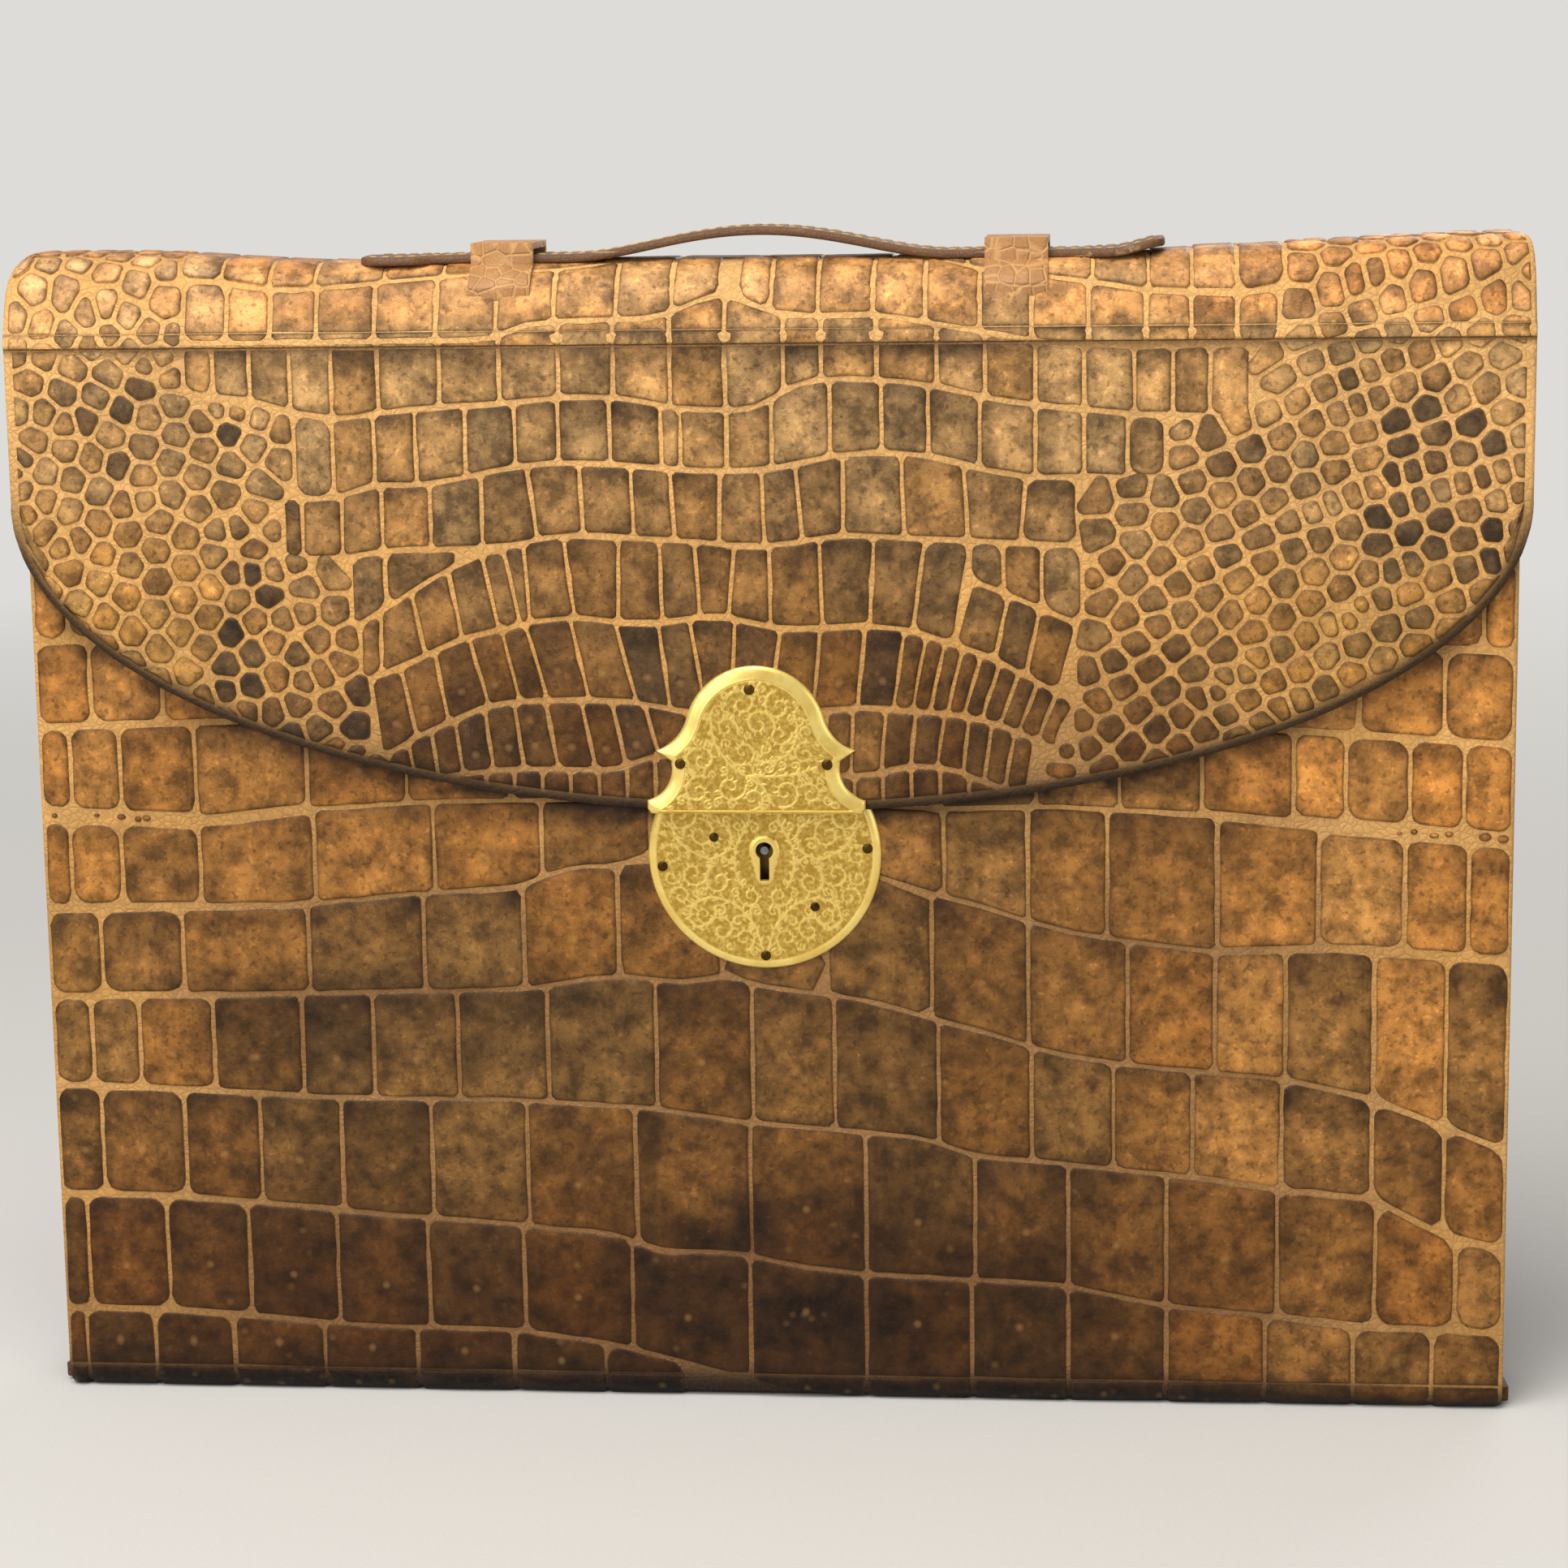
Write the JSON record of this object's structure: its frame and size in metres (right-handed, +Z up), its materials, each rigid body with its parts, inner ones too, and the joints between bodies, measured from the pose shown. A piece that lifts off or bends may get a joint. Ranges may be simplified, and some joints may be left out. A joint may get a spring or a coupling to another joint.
{
  "type": "leather writing case",
  "caption": "Flat flap-over writing case in crocodile hide with a round gilt lock, a bell-shaped hasp plate and a flat sliding strap handle on top.",
  "frame": {"origin": "middle of the base, on the surface that the case stands on", "axes": "+X along the width, -Y out of the front with the lock, +Z up"},
  "size_m": [0.365, 0.0384, 0.2896],
  "materials": {
    "crocodile_hide": "polished crocodile hide, tan to dark brown, pale grooves",
    "strap_leather": "worn tan hide",
    "lining_leather": "smooth russet lining skin",
    "gusset_leather": "soft brown hide",
    "board_leather": "grained russet hide",
    "millboard": "pressed millboard",
    "blotting_paper": "soft blotting paper",
    "gilt_brass": "engraved and gilt brass",
    "drum_brass": "plain rolled brass",
    "lock_steel": "filed steel"
  },
  "bodies": {
    "case": {"case_hide": "crocodile_hide", "base_board": "millboard", "back_board": "millboard", "top_board": "millboard", "case_lining": "lining_leather", "left_gusset": "gusset_leather", "right_gusset": "gusset_leather", "divider_board": "millboard", "divider_cover": "lining_leather", "back_pocket": "lining_leather", "pen_loops": "lining_leather", "writing_board": "board_leather", "blotting_paper": "blotting_paper", "board_corners": "board_leather", "left_handle_loop": "strap_leather", "right_handle_loop": "strap_leather", "flap_crease": "crocodile_hide"},
    "front": {"front_hide": "crocodile_hide", "front_board": "millboard", "front_lining": "lining_leather", "lock_pad": "lining_leather", "lock_plate": "gilt_brass", "lock_plate_pins": "gilt_brass", "lock_rivets": "lock_steel", "lock_drum": "drum_brass", "key_pin": "lock_steel"},
    "flap": {"flap_hide": "crocodile_hide", "flap_card": "millboard", "flap_lining": "lining_leather", "hasp_plate": "gilt_brass", "hasp_pins": "gilt_brass", "hasp_staple": "gilt_brass"},
    "bolt": {"lock_bolt": "lock_steel", "bolt_spring": "lock_steel"},
    "handle": {"handle_strap": "strap_leather"}
  },
  "joints": [
    {"name": "flap_hinge", "type": "hinge", "parent": "case", "child": "flap", "pos_m": [0, -0.01685, 0.2645], "axis": [-1, 0, 0], "range_deg": [0, 185], "deforming": ["flap_crease"]},
    {"name": "front_hinge", "type": "hinge", "parent": "case", "child": "front", "pos_m": [0, -0.00775, 0.0044], "axis": [1, 0, 0], "range_deg": [0, 15], "deforming": ["left_gusset", "right_gusset"]},
    {"name": "handle_slide", "type": "slide", "parent": "case", "child": "handle", "axis": [1, 0, 0], "range_m": [-0.008, 0.008]},
    {"name": "bolt_slide", "type": "slide", "parent": "front", "child": "bolt", "axis": [1, 0, 0], "range_m": [0, 0.0044]}
  ],
  "couplings": [
    {"joint": "front_hinge", "follows": "flap_hinge", "ratio": 0.08}
  ]
}
